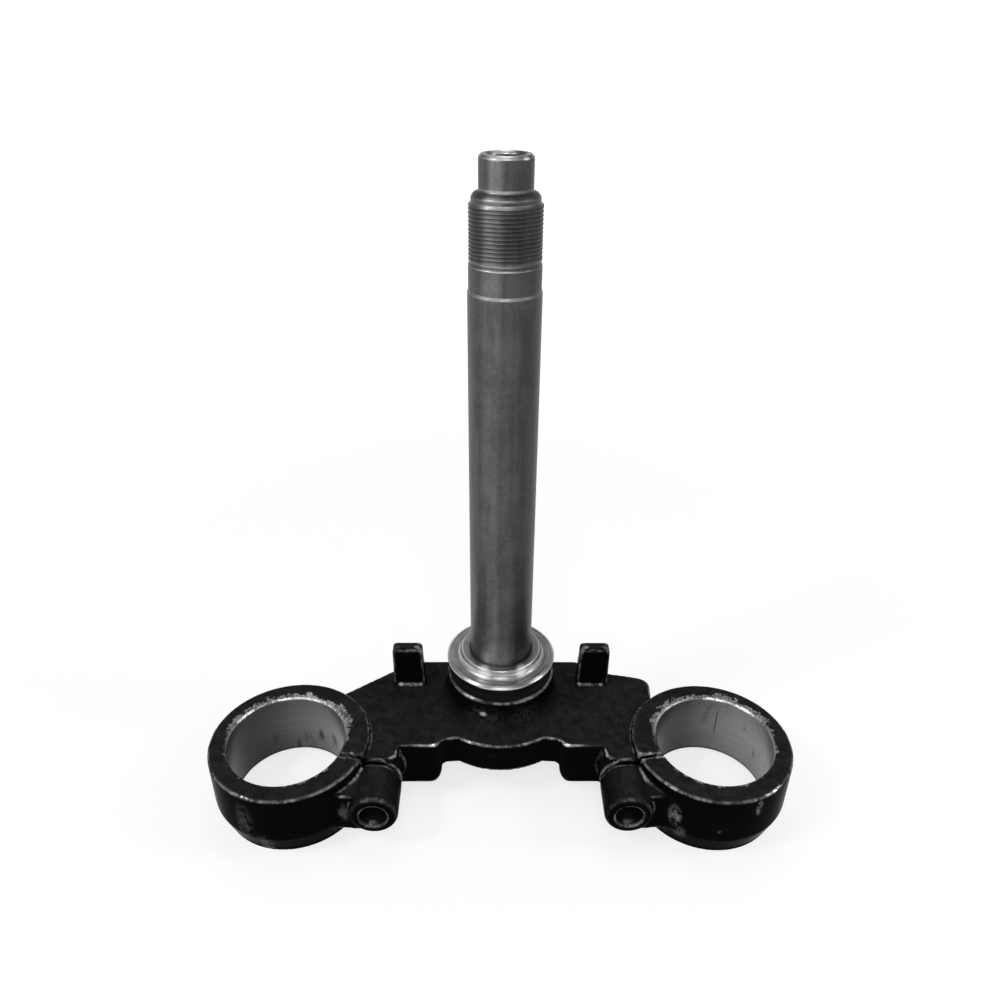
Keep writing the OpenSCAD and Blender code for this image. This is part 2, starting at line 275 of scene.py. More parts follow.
class Shader:
    """A material's node tree, built up from small steps on Object coordinates."""

    def __init__(self, name: str) -> None:
        """Starts a material with one Principled shader.

        Args:
            name: Name of the material.
        """
        self.material = bpy.data.materials.new(name)
        self.material.use_nodes = True
        self.tree = self.material.node_tree
        self.surface = next(n for n in self.tree.nodes if n.type == "BSDF_PRINCIPLED")
        self.place = self.node("ShaderNodeTexCoord").outputs["Object"]
        split = self.node("ShaderNodeSeparateXYZ")
        self.feed(split.inputs[0], self.place)
        self.x, self.y, self.z = (self.times(split.outputs[axis], 1 / MM) for axis in "XYZ")

    def node(self, kind: str, **settings: object) -> bpy.types.Node:
        """Adds a node.

        Args:
            kind: The node's type.
            **settings: Values for the node's own fields.

        Returns:
            The new node.
        """
        made = self.tree.nodes.new(kind)
        for name, value in settings.items():
            setattr(made, name, value)
        return made

    def feed(self, socket: Socket, value: object) -> None:
        """Links a socket, or sets it if the value is plain.

        Args:
            socket: The input to fill.
            value: An output socket, a number, or a sequence of numbers.
        """
        if isinstance(value, Socket):
            self.tree.links.new(value, socket)
        else:
            socket.default_value = value

    def math(self, operation: str, *values: object) -> Socket:
        """Adds a Math node, and one more for each value beyond the second.

        Args:
            operation: The nodes' operation.
            *values: One value, or two and more that are combined in turn.

        Returns:
            The result.
        """
        made = self.node("ShaderNodeMath", operation=operation)
        for socket, value in zip(made.inputs, values[:2]):
            self.feed(socket, value)
        if len(values) > 2:
            return self.math(operation, made.outputs[0], *values[2:])
        return made.outputs[0]

    def times(self, *values: object) -> Socket:
        """Multiplies values."""
        return self.math("MULTIPLY", *values)

    def plus(self, *values: object) -> Socket:
        """Adds values up."""
        return self.math("ADD", *values)

    def raised(self, value: object, share: object, amount: object) -> Socket:
        """Raises a value by an amount of itself, as far as a share from 0 to 1 says."""
        return self.times(value, self.plus(1.0, self.times(share, amount)))

    def stored(self, name: str) -> Socket:
        """Reads an attribute that is stored in the mesh."""
        return self.node("ShaderNodeAttribute", attribute_name=name).outputs["Fac"]

    def stretched(self, *scale: float) -> Socket:
        """Scales the coordinates, so that a pattern is drawn out along an axis.

        Args:
            *scale: Scales along X, Y and Z.

        Returns:
            The scaled coordinates.
        """
        made = self.node("ShaderNodeMapping")
        self.feed(made.inputs["Vector"], self.place)
        made.inputs["Scale"].default_value = scale
        return made.outputs[0]

    def noise(self, scale: float, detail: float = 3.0, rough: float = 0.55, at: object = None) -> Socket:
        """Adds a noise pattern.

        Args:
            scale: Waves per metre.
            detail: Number of finer layers.
            rough: Strength of the finer layers.
            at: Coordinates to use in place of the plain ones.

        Returns:
            The noise, about 0 to 1.
        """
        made = self.node("ShaderNodeTexNoise")
        self.feed(made.inputs["Vector"], self.place if at is None else at)
        for name, value in (("Scale", scale), ("Detail", detail), ("Roughness", rough)):
            made.inputs[name].default_value = value
        return made.outputs[0]

    def ramp(self, value: object, low: float, high: float, out: Point = (0.0, 1.0)) -> Socket:
        """Maps a range of values smoothly onto another.

        Args:
            value: The input.
            low: The value that gives the first result.
            high: The value that gives the last result.
            out: The first and the last result.

        Returns:
            The mapped value.
        """
        made = self.node("ShaderNodeMapRange", interpolation_type="SMOOTHSTEP")
        for name, given in zip(("Value", "From Min", "From Max", "To Min", "To Max"), (value, low, high, *out)):
            self.feed(made.inputs[name], given)
        return made.outputs[0]

    def mix(self, share: object, first: object, second: object) -> Socket:
        """Mixes two colours.

        Args:
            share: How much of the second colour shows.
            first: The first colour.
            second: The second colour.

        Returns:
            The mixed colour.
        """
        made = self.node("ShaderNodeMix", data_type="RGBA")
        self.feed(made.inputs[0], share)
        for socket, value in ((made.inputs[6], first), (made.inputs[7], second)):
            self.feed(socket, grey(value) if isinstance(value, float) else value)
        return made.outputs[2]

    def bump(self, height: object, depth: float, under: object = None) -> Socket:
        """Adds a relief.

        Args:
            height: The pattern of the relief.
            depth: Height of the relief.
            under: The normal of a relief below this one.

        Returns:
            The normal.
        """
        made = self.node("ShaderNodeBump")
        made.inputs["Distance"].default_value = depth * MM
        self.feed(made.inputs["Height"], height)
        if under is not None:
            self.feed(made.inputs["Normal"], under)
        return made.outputs[0]

    def radius_from(self, x: float = 0.0, y: float = 0.0) -> Socket:
        """Gives the distance from an upright axis.

        Args:
            x: Place of the axis along X.
            y: Place of the axis along Y.

        Returns:
            The distance.
        """
        made = self.node("ShaderNodeMapping")
        self.feed(made.inputs["Vector"], self.place)
        made.inputs["Location"].default_value = (-x, -y, 0)
        made.inputs["Scale"].default_value = (1 / MM, 1 / MM, 0)
        length = self.node("ShaderNodeVectorMath", operation="LENGTH")
        self.feed(length.inputs[0], made.outputs[0])
        return length.outputs["Value"]

    def spot(self, place: Place, reach: Place) -> Socket:
        """Measures nearness to a place: 1 in its core, 0 beyond its reach.

        Args:
            place: Middle of the spot in millimetres.
            reach: Half widths of the spot in millimetres.

        Returns:
            The nearness.
        """
        way = self.node("ShaderNodeMapping", vector_type="TEXTURE")
        self.feed(way.inputs["Vector"], self.place)
        way.inputs["Location"].default_value = tuple(c * MM for c in place)
        way.inputs["Scale"].default_value = tuple(c * MM for c in reach)
        far = self.node("ShaderNodeVectorMath", operation="LENGTH")
        self.feed(far.inputs[0], way.outputs[0])
        return self.ramp(far.outputs["Value"], 1.0, 0.25)

    def patched(self, base: object, patches: Iterable[Patch], pattern: object) -> Socket:
        """Lets a pattern show in some places, where it is the stronger.

        Args:
            base: The value elsewhere.
            patches: Place and reach of each patch.
            pattern: The pattern in the patches.

        Returns:
            The patched value.
        """
        for place, reach in patches:
            base = self.math("MAXIMUM", base, self.times(self.spot(place, reach), pattern))
        return base

    def finish(self, **inputs: object) -> bpy.types.Material:
        """Fills the Principled shader's inputs.

        Args:
            **inputs: Input names, with underscores for spaces.

        Returns:
            The finished material.
        """
        for name, value in inputs.items():
            self.feed(self.surface.inputs[name.replace("_", " ")], value)
        return self.material


def grey(level: float) -> tuple[float, float, float, float]:
    """Gives a neutral colour of that linear level."""
    return (level, level, level, 1.0)


@dataclass(frozen=True)
class BlackPaint:
    """Gloss black paint over a forging, worn to bare steel in the bores."""

    colour: float = 0.0033
    dusted: float = 0.024  # dust and a painted sheen on upward faces
    pale: float = 0.009  # small pale specks
    metal: float = 0.85  # bright metal on the edges: worn paint, and a painted highlight
    gloss: float = 0.12  # roughness of clean paint
    specular: float = 0.003  # specular level of the paint
    steel: Point = (0.132, 0.16)  # brushed steel in the bores, darkest and brightest
    stain: float = 0.035
    chips: Point = (0.1, 0.68)  # chips round the mouths, dark and bright
    bright_chip: float = 1.3
    bright_patch: Patch = ((-80.0, -8.0, -12.5), (15.0, 10.0, 3.0))
    chip_width: Point = (1.2, 3.4)  # least and greatest width of a chip
    chip_edge: float = 0.9  # width of bare steel that chips add to
    chip_z: Point = (-42.0, -30.0)  # where the chips set in
    rear: Point = (-6.0, 14.0)  # where the worn rear of the bores sets in, behind their axes
    lit_x: float = 22.0  # half width of the light in a bore
    lit_z: Point = (-44.0, -22.0)  # where that light rises
    dull_z: Point = (-40.5, -42.5)  # where the feet of the rings grow dull
    painted_highlights: tuple[tuple[Place, Place, float], ...] = (  # place, reach and colour of each painted highlight, glint and soft reflection
        ((-103.0, -62.0, -27.0), (5.5, 6.0, 15.0), 0.06), ((-96.0, -64.5, -38.0), (6.0, 4.0, 7.0), 0.11),
        ((-96.0, -63.5, -42.5), (5.0, 4.0, 2.5), 0.3), ((-64.0, -57.0, -27.0), (3.0, 4.0, 6.0), 0.1),
        ((73.0, -60.0, -35.0), (4.0, 5.0, 5.0), 0.12), ((70.2, -59.5, -26.0), (3.4, 5.0, 7.0), 0.24),
        ((102.3, -63.0, -17.5), (2.0, 3.0, 5.5), 0.24), ((87.4, -65.5, -29.0), (1.4, 3.0, 1.2), 0.1),
        ((-8.0, -24.0, -8.0), (14.0, 10.0, 7.0), 0.026), ((12.0, -24.0, -8.0), (12.0, 10.0, 7.0), 0.02),
        ((-11.0, -22.0, -5.5), (4.5, 3.0, 2.2), 0.06), ((-7.7, -22.3, -7.0), (2.0, 1.8, 1.5), 0.6),
        ((-41.5, 3.2, 6.5), (6.5, 1.5, 1.0), 0.24), ((41.5, 3.2, 6.5), (6.5, 1.5, 1.0), 0.16),
        ((-41.3, 3.0, -13.0), (7.0, 1.6, 1.3), 0.3), ((41.3, 3.0, -13.0), (7.0, 1.6, 1.3), 0.2),
        ((-45.6, 3.0, -12.8), (1.6, 1.6, 1.3), 0.6), ((-36.4, 3.0, -12.8), (1.3, 1.6, 1.3), 0.5),
        ((46.2, 3.0, -12.8), (1.3, 1.6, 1.3), 0.5), ((36.4, 3.0, -12.8), (1.3, 1.6, 1.3), 0.5),
        ((-52.3, -60.0, -30.3), (2.6, 2.2, 1.4), 0.3), ((51.5, -59.5, -30.1), (3.0, 2.2, 1.2), 0.2),
    )
    highlit: tuple[Patch, ...] = (  # place and reach of each stretch of edge where bright metal paints a highlight
        ((-103.0, -60.5, -12.3), (9.0, 4.0, 1.6)), ((69.0, -55.0, -12.3), (7.0, 9.0, 1.6)),
        ((107.0, -57.5, -12.3), (11.0, 9.0, 1.6)), ((-14.0, -31.0, -14.8), (11.0, 5.0, 1.8)),
        ((-30.0, -32.3, -14.8), (4.0, 3.0, 1.8)), ((27.0, -31.5, -14.8), (6.0, 3.5, 1.8)),
        ((-44.6, -37.9, -14.8), (3.0, 3.0, 1.8)), ((44.6, -36.8, -14.8), (3.0, 3.0, 1.8)),
        ((-54.5, -60.7, -16.3), (3.2, 2.4, 1.8)), ((-47.8, -60.8, -16.6), (2.0, 2.4, 1.6)),
        ((51.0, -61.0, -16.4), (4.5, 2.4, 1.8)), ((-59.0, -45.0, -14.9), (2.5, 4.0, 3.0)),
        ((-64.0, -55.0, -21.0), (2.5, 4.0, 7.0)), ((-15.0, -19.0, 0.0), (9.0, 6.0, 3.0)),
        ((13.0, -21.0, 0.0), (11.0, 6.0, 3.0)),
    )
    stains: tuple[Patch, ...] = (  # place and reach of each dark stain in the bores
        ((-93.0, -7.8, -40.5), (1.7, 4.0, 5.0)), ((-89.5, -7.6, -35.0), (1.2, 4.0, 4.0)),
        ((-75.6, -13.2, -33.0), (2.6, 4.0, 6.5)), ((-82.0, -9.2, -33.0), (2.2, 4.0, 5.0)),
        ((-103.0, -10.8, -34.0), (1.6, 4.0, 5.0)), ((-113.0, -21.5, -32.0), (5.0, 7.0, 12.0)),
        ((75.5, -13.2, -38.0), (2.0, 4.0, 5.0)), ((98.5, -8.7, -24.0), (0.5, 4.0, 13.0)),
    )

    def chipped(self, s: Shader, bore: object, rear: object, blotch: object) -> Socket:
        """Finds where the paint has come off round the bores.

        Args:
            s: The material's shader.
            bore: Distance from the nearer bore's axis.
            rear: Nearness to the worn rear.
            blotch: A coarse pattern.

        Returns:
            The share of bare steel.
        """
        flakes = s.ramp(s.noise(380, 5, 0.75), 0.42, 0.6)
        reach = s.plus(s.times(flakes, s.ramp(blotch, 0.35, 0.6, self.chip_width)), self.chip_edge)
        reach = s.plus(s.times(rear, s.ramp(s.z, *self.chip_z), reach), 0.25)
        return s.ramp(s.math("SUBTRACT", bore, reach), CLAMP_R + 0.45, CLAMP_R + 0.15)

    def bore_steel(self, s: Shader, bore: object, rear: object) -> Socket:
        """Colours the bores, with their light and stains and the chips round their mouths.

        Args:
            s: The material's shader.
            bore: Distance from the nearer bore's axis.
            rear: Nearness to the worn rear.

        Returns:
            The colour.
        """
        stained = s.ramp(s.noise(110, 5, 0.7, s.stretched(1.5, 1.5, 0.8)), 0.54, 0.76, (0.0, 0.8))
        dirt = s.ramp(s.noise(260, 4, 0.7, s.stretched(1, 1, 0.5)), 0.35, 0.6)
        stained = s.patched(stained, self.stains, dirt)
        across = s.math("SUBTRACT", s.x, s.times(s.math("SIGN", s.x), FORK_X))
        left = s.ramp(across, -self.lit_x, self.lit_x, (0.3, 1.38))
        right = s.math("POWER", s.ramp(across, -self.lit_x, self.lit_x, (0.47, 1.3)), 2.0)
        light = s.times(s.mix(s.ramp(s.x, -1, 1), left, right), s.ramp(s.z, *self.lit_z, (0.68, 1.06)))
        brushed = s.ramp(s.noise(60, 4, 0.6, s.stretched(1, 1, 14)), 0.2, 0.8, self.steel)
        wall = s.mix(stained, s.times(brushed, light), self.stain)
        mouth = s.ramp(bore, CLAMP_R + 0.1, CLAMP_R + 0.3)
        mouth = s.times(mouth, s.plus(s.times(rear, 0.85), 0.15))
        bright = s.mix(s.spot(*self.bright_patch), self.chips[1], self.bright_chip)
        return s.mix(mouth, wall, s.mix(s.ramp(s.noise(950, 4, 0.75), 0.35, 0.6), self.chips[0], bright))

    def paint(self, s: Shader, blotch: object, grain: object, broken: object) -> Socket:
        """Colours the paint, with its dust and painted sheen on upward faces, its specks and its painted highlights.

        Args:
            s: The material's shader.
            blotch: A coarse pattern.
            grain: A fine pattern.
            broken: A ragged pattern that breaks up the painted highlights.

        Returns:
            The colour.
        """
        mottled = s.ramp(s.noise(220, 5, 0.75), 0.35, 0.65, (0.6, 1.4))
        # upward faces lighter: dust, and a painted sheen where the top faces catch the light
        dust = s.times(s.stored("upward"), mottled, s.ramp(blotch, 0.3, 0.7, (0.8, 1.15)), 0.7)
        colour = s.mix(dust, self.colour, self.dusted)
        specks = s.times(s.ramp(blotch, 0.5, 0.8), s.ramp(grain, 0.35, 0.6))
        colour = s.mix(specks, colour, self.pale)
        # painted highlights, glints and soft reflections, each a lighter patch of the paint's colour
        for place, reach, level in self.painted_highlights:
            colour = s.mix(s.times(s.spot(place, reach), broken), colour, level)
        return colour

    def material(self) -> bpy.types.Material:
        """Builds the material."""
        s = Shader("black_paint")
        bore = s.math("MINIMUM", *(s.radius_from(side.value * FORK_X, FORK_Y) for side in Side))
        rear = s.ramp(s.y, FORK_Y + self.rear[0], FORK_Y + self.rear[1])
        blotch = s.noise(90, 4)
        grain = s.noise(900, 3)
        broken = s.ramp(s.noise(360, 5, 0.75), 0.4, 0.58)
        worn = s.times(s.ramp(s.stored("worn"), 0.55, 0.95), s.ramp(s.noise(260, 5, 0.65), 0.6, 0.72))
        steel = s.math("MAXIMUM", self.chipped(s, bore, rear, blotch), worn)
        # bright metal on the creased edges paints their highlights, strongest in the listed stretches
        highlit = s.patched(s.ramp(s.noise(130, 5, 0.7), 0.42, 0.6, (0.05, 0.36)), self.highlit, broken)
        edge = s.times(s.ramp(s.stored("crease"), 0.2, 0.5), highlit)
        paint = s.mix(edge, self.paint(s, blotch, grain, broken), self.metal)
        dull = s.ramp(s.z, *self.dull_z, (0.0, 0.45))
        return s.finish(
            Base_Color=s.mix(steel, paint, self.bore_steel(s, bore, rear)),
            Metallic=s.math("MAXIMUM", steel, edge),
            Roughness=s.plus(s.times(steel, 0.14), s.times(blotch, 0.16), self.gloss, dull),
            Specular_IOR_Level=self.specular,
            Normal=s.bump(grain, 0.014, s.bump(s.noise(330, 2), 0.04)),
        )


@dataclass(frozen=True)
class StemSteel:
    """Dull turned steel with a mottled dark oxide."""

    dark: float = 0.057  # the oxide
    pale: float = 0.125  # steel that shows through it
    shine: float = 0.85
    tube_z: Point = (168.0, 172.0)  # where the tube's light gives way to the journal's
    spigot_z: Point = (205.0, 203.0)  # where the spigot's light gives way to the thread's
    thread_z: Point = (181.0, 182.0)  # where the painted light and shade of the thread set in
    thread_end_z: Point = (200.0, 199.0)  # where they end
    crest_r: Point = (12.5, 12.75)  # from the thread's grooves to its crests
    low_z: Point = (75.0, 15.0)  # where the lowest part grows paler on its left
    glow_z: Point = (27.0, 13.0)  # where the painted light thrown up from the race sets in
    edges: tuple[Place, ...] = (  # height, half width and strength of each turned edge's painted highlight
        (214.7, 0.9, 1.0),
        (204.3, 0.7, 0.36),
        (202.0, 0.5, 0.2),
        (200.0, 0.8, 0.34),
        (181.3, 0.4, 0.4),
        (180.0, 0.35, 0.75),
        (170.8, 0.7, 0.45),
    )
    glints: tuple[Patch, ...] = (  # place and reach of each painted glint on the rim
        ((-3.6, -8.0, 214.6), (4.4, 2.8, 1.2)),
        ((6.2, -6.4, 214.4), (2.8, 2.2, 0.8)),
        ((1.9, 6.4, 214.6), (2.0, 1.8, 1.2)),
    )

    def light(self, s: Shader, turn: object, radius: object) -> Socket:
        """Gives the bands of light and shade along the stem.

        Args:
            s: The material's shader.
            turn: Place across the stem, from -1 to 1.
            radius: Distance from its axis.

        Returns:
            The light, 1 where it is even.
        """
        band = s.times(s.ramp(turn, -0.72, -0.5), s.ramp(turn, -0.02, -0.28))
        band = s.times(band, s.ramp(s.z, *self.tube_z, (0.5, 1.4)), s.ramp(s.z, *self.spigot_z, (1.0, 0.75)))
        limb = s.ramp(s.math("ABSOLUTE", turn), 1.0, 0.8, (0.7, 1.0))
        light = s.times(s.plus(band, 0.84), s.ramp(turn, 0.0, 0.75, (1.0, 0.62)))
        light = s.times(light, s.mix(s.ramp(s.z, *self.tube_z), 1.0, limb))
        low_left = s.times(s.ramp(s.z, *self.low_z), s.ramp(turn, 0.1, -0.6))
        light = s.raised(light, low_left, 0.45)
        # painted light thrown up from the race onto the stem's foot
        off_middle = s.math("ABSOLUTE", s.plus(turn, 0.1))
        near_race = s.times(s.ramp(s.z, *self.glow_z), s.ramp(off_middle, 0.65, 0.2))
        light = s.raised(light, near_race, 1.5)
        # painted light on the thread's crests and painted shade in its grooves
        threaded = s.times(s.ramp(s.z, *self.thread_z), s.ramp(s.z, *self.thread_end_z))
        return s.raised(light, threaded, s.ramp(radius, *self.crest_r, (-0.1, 0.3)))

    def material(self) -> bpy.types.Material:
        """Builds the material."""
        s = Shader("stem_steel")
        radius = s.radius_from()
        turn = s.math("DIVIDE", s.x, radius)
        clouds = s.noise(70, 5, 0.6)
        streaks = s.noise(50, 4, 0.6, s.stretched(8, 8, 0.7))
        speckle = s.noise(700, 3, 0.7)
        rings = s.noise(40, 3, 0.7, s.stretched(0.4, 0.4, 60))
        tone = s.plus(s.times(clouds, 0.5), s.times(streaks, 0.35), s.times(speckle, 0.25))
        level = s.times(s.ramp(tone, 0.35, 0.75, (self.dark, self.pale)), self.light(s, turn, radius))
        # painted highlights on the turned edges, and painted glints on the rim
        bright = 0.0
        for height, half, strength in self.edges:
            off = s.math("ABSOLUTE", s.math("SUBTRACT", s.z, height))
            bright = s.math("MAXIMUM", bright, s.ramp(off, half, half * 0.45, (0.0, strength)))
        lit = s.times(s.ramp(turn, -0.9, -0.5, (0.15, 1.0)), s.ramp(turn, 0.75, -0.1, (0.12, 1.0)))
        shine = s.patched(s.times(bright, lit), self.glints, s.ramp(speckle, 0.3, 0.5))
        return s.finish(
            Base_Color=s.mix(shine, level, self.shine),
            Metallic=0.85,
            Roughness=s.plus(0.34, s.times(clouds, 0.2), s.times(bright, -0.16)),
            Normal=s.bump(speckle, 0.015, s.bump(rings, 0.02)),
        )


@dataclass(frozen=True)
class GroundSteel:
    """Ground and polished bearing steel."""

    level: float = 0.55
    shine: float = 0.95
    rings: float = 1.15  # turned rings per millimetre
    ring_detail: float = 4.0  # number of finer layers of rings
    side_x: float = 18.0  # where the light falls off on each side
    glints: tuple[Patch, ...] = (  # place and reach of each painted glint, a whiter spot
        ((-7.4, -15.8, 10.6), (4.2, 5.0, 4.0)),
        ((8.6, -15.2, 10.4), (3.4, 5.0, 4.0)),
        ((-9.0, -14.0, 13.6), (2.6, 3.0, 1.6)),
    )

    def material(self) -> bpy.types.Material:
        """Builds the material."""
        s = Shader("race_steel")
        lathe = s.node("ShaderNodeTexNoise", noise_dimensions="1D")
        for name, value in (("W", s.radius_from()), ("Scale", self.rings), ("Detail", self.ring_detail)):
            s.feed(lathe.inputs[name], value)
        marks = lathe.outputs[0]
        cloud = s.noise(160, 4)
        base = s.mix(s.ramp(cloud, 0.4, 0.7), self.level * 0.8, self.level)
        base = s.times(base, s.ramp(marks, 0.35, 0.65, (0.62, 1.18)))
        base = s.times(base, s.ramp(s.x, -self.side_x, self.side_x, (1.15, 0.88)))
        # painted glints: whiter, less metallic spots
        highlit = s.patched(0.0, self.glints, s.ramp(cloud, 0.3, 0.55))
        return s.finish(
            Base_Color=s.mix(highlit, base, self.shine),
            Metallic=s.plus(1.0, s.times(highlit, -0.7)),
            Roughness=s.plus(0.24, s.times(cloud, 0.14)),
            Normal=s.bump(marks, 0.08, s.bump(s.noise(1100, 2), 0.008)),
        )


@dataclass(frozen=True)
class SealRubber:
    """Soft black rubber, slightly dusty."""

    level: float = 0.004
    dusted: float = 0.011  # its dust

    def material(self) -> bpy.types.Material:
        """Builds the material."""
        s = Shader("seal_rubber")
        dust = s.noise(220, 4)
        return s.finish(
            Base_Color=s.mix(s.ramp(dust, 0.5, 0.8), self.level, self.dusted),
            Roughness=s.plus(0.42, s.times(dust, 0.2)),
            Specular_IOR_Level=0.06,
            Normal=s.bump(s.noise(900, 3), 0.02),
        )


# The pieces


@dataclass
class Yoke:
    """The forged yoke with its two split clamps."""

    ring_top: float = -12.0
    ring_bottom: float = -45.0
    mouth: float = 0.8  # chamfer at the bores' upper mouths
    foot: float = 2.6  # chamfer at their lower mouths
    slit_y: float = -42.0
    slit_w: float = 1.6
    slit_tilt: float = 5.0  # turn of the slits, in degrees
    slit_in: float = 0.55  # how near they come to a bore's axis, as a share of its radius
    slit_out: float = 14.0  # how far they run out past the boss axes
    boss_x: float = 51.5
    boss_z: float = -24.9
    boss_front: float = -61.5  # place of the bosses' front faces along Y
    hole_r: float = 5.3
    hole_lip: float = 1.3  # rounding at the pinch holes' mouths
    core_r: float = 4.25
    core_depth: float = 15.0  # depth of the tapped cores behind the slits
    core_tip: float = 2.4  # length of the cones that the drill left
    stem_r: float = 13.27
    stem_run: Point = (-60.0, 20.0)  # heights between which the stem hole's tool runs
    neck_top: float = 7.2  # height of the neck under the race
    hub_foot: float = -38.3  # height of the hub's underside
    spare: float = 1.0  # how far the tools run out of the casting
    stem_spare: float = 1.0  # how far the stem hole's filling goes into the wall
    bore_spare: float = 0.6  # the same for the bores
    pin_spare: float = 1.6  # the same for the pinch holes
    pin_past: float = 2.0  # how far their fillings go past the tapped cores
    blade_spare: float = 1.2  # how much thicker than the slits their fillings are
    blade_half: float = 6.6  # half the height of those fillings
    grain: float = 0.7  # size of the voxels that blend the corners
    triangles: int = 170000  # most triangles that the casting may have
    sharpest: float = 900.0  # curvature of a fully worn corner, per metre
    finish: BlackPaint = field(default_factory=BlackPaint)

    def plug(self, radius: float, low: float, high: float) -> Piece:
        """Makes an upright filling for a hole on the Z axis.

        Args:
            radius: Radius of the filling.
            low: Height of its underside.
            high: Height of its top.

        Returns:
            The filling.
        """
        clear_selection()
        bpy.ops.mesh.primitive_cylinder_add(
            vertices=64, radius=radius * MM, depth=(high - low) * MM, location=(0, 0, (high + low) / 2 * MM)
        )
        bpy.ops.object.transform_apply(location=True, rotation=True, scale=True)
        return bpy.context.object

    def slot_blade(self, side: Side, thick: float, low: float, high: float, reach: float) -> Piece:
        """Makes the blade that fills or cuts a clamp's slit.

        Args:
            side: Which clamp it is for.
            thick: Thickness of the blade.
            low: Height of its lower edge.
            high: Height of its upper edge.
            reach: How far it runs out past the boss axis, away from the bore.

        Returns:
            The blade.
        """
        inner = FORK_X - CLAMP_R * self.slit_in - self.boss_x
        clear_selection()
        bpy.ops.mesh.primitive_cube_add(size=MM)
        blade = bpy.context.object
        with editing(blade):
            bpy.ops.transform.resize(value=(inner + reach, thick, high - low))
            bpy.ops.transform.translate(value=((inner - reach) / 2 * MM, 0, (high + low) / 2 * MM))
        turn = Matrix.Rotation(math.radians(self.slit_tilt), 4, "Z")
        for vertex in blade.data.vertices:
            place = turn @ vertex.co + Vector((self.boss_x * MM, self.slit_y * MM, 0))
            vertex.co = Vector((side.value * place.x, place.y, place.z))
        with editing(blade):
            bpy.ops.mesh.normals_make_consistent(inside=False)
        return blade

    def filled_copy(self) -> Piece:
        """Copies the CAD node and fills its bores, holes and slits.

        Returns:
            The filled copy, with the fillings joined to it.
        """
        take_up(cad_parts["bottom_yoke"])
        bpy.ops.object.duplicate()
        casting = bpy.context.object
        casting.name = "yoke_casting"
        casting.parent = None
        casting.matrix_world = Matrix.Identity(4)
        with editing(casting):
            bpy.ops.mesh.remove_doubles(threshold=WELD)
        parts = [casting, self.plug(self.stem_r + self.stem_spare, self.hub_foot, self.neck_top)]
        low, high = self.boss_z - self.blade_half, self.boss_z + self.blade_half
        pin_length = self.slit_y + self.core_depth + self.pin_past - self.boss_front
        for side in Side:
            bore_fill = self.plug(CLAMP_R + self.foot + self.bore_spare, self.ring_bottom, self.ring_top)
            shift(bore_fill, side.value * FORK_X, FORK_Y, 0)
            pin = self.plug(self.hole_r + self.pin_spare, 0, pin_length)
            lay_along_y(pin)
            shift(pin, side.value * self.boss_x, self.boss_front, self.boss_z)
            blade = self.slot_blade(side, self.slit_w + self.blade_spare, low, high, self.blade_half)
            parts += [bore_fill, pin, blade]
        return join(parts)

    def bore_tool(self, side: Side) -> Piece:
        """Makes the tool for a clamp's bore with its two chamfers.

        Args:
            side: Which clamp it is for.

        Returns:
            The tool.
        """
        r, c, past = CLAMP_R, self.mouth, self.spare
        profile = [
            (0, self.ring_bottom - past),
            (r + self.foot + past, self.ring_bottom - past),
            (r, self.ring_bottom + self.foot),
            (r, self.ring_top - c),
            (r + c + past, self.ring_top + past),
            (0, self.ring_top + past),
        ]
        bore = turned("bore_tool", profile)
        shift(bore, side.value * FORK_X, FORK_Y, 0)
        return bore

    def hole_tool(self, side: Side) -> Piece:
        """Makes the tool for a pinch hole: a rounded mouth, a wide front half and a tapped core.

        Args:
            side: Which clamp it is for.

        Returns:
            The tool.
        """
        front = self.slit_y - self.boss_front
        r, lip = self.hole_r, self.hole_lip
        profile = [
            (0, -self.spare),
            (r + lip, -self.spare),
            *arc((r + lip, lip), lip, 270, 180),
            (r, front),
            (self.core_r, front),
            (self.core_r, front + self.core_depth - self.core_tip),
            (0, front + self.core_depth),
        ]
        hole = turned("hole_tool", profile, Turn.COARSE)
        lay_along_y(hole)
        shift(hole, side.value * self.boss_x, self.boss_front, self.boss_z)
        return hole

    def cutters(self) -> list[Piece]:
        """Makes the tools for the bores, the slits and the pinch holes.

        Returns:
            The tools, in the order in which they are used.
        """
        low, high = self.ring_bottom - self.spare, self.ring_top + self.spare
        bores, slits, holes = [], [], []
        for side in Side:
            bores.append(self.bore_tool(side))
            slits.append(self.slot_blade(side, self.slit_w, low, high, self.slit_out))
            holes.append(self.hole_tool(side))
        foot, top = self.stem_run
        bores.append(turned("stem_tool", [(0, foot), (self.stem_r, foot), (self.stem_r, top), (0, top)]))
        return [join(bores), join(slits), join(holes)]

    def mark_wear(self, casting: Piece) -> None:
        """Stores how strongly each place stands out, how sharply it bends and how far it faces up.

        Args:
            casting: The finished casting.
        """
        mesh = bmesh.new()
        mesh.from_mesh(casting.data)
        bend = {}
        for vertex in mesh.verts:
            total = 0.0
            for edge in vertex.link_edges:
                other = edge.other_vert(vertex)
                way = other.co - vertex.co
                if way.length > 1e-7:
                    total += (other.normal - vertex.normal).dot(way) / way.length_squared
            bend[vertex.index] = total / max(1, len(vertex.link_edges))
        curvature = []
        for vertex in mesh.verts:
            near = [bend[edge.other_vert(vertex).index] for edge in vertex.link_edges]
            curvature.append((bend[vertex.index] + sum(near)) / (1 + len(near)) / self.sharpest)
        marks = {
            "upward": [max(0.0, vertex.normal.z) ** 2 for vertex in mesh.verts],
            "worn": [min(1.0, max(0.0, c)) for c in curvature],
            "crease": [min(1.0, abs(c)) for c in curvature],
        }
        mesh.free()
        for name, values in marks.items():
            layer = casting.data.attributes.new(name, "FLOAT", "POINT")
            layer.data.foreach_set("value", values)

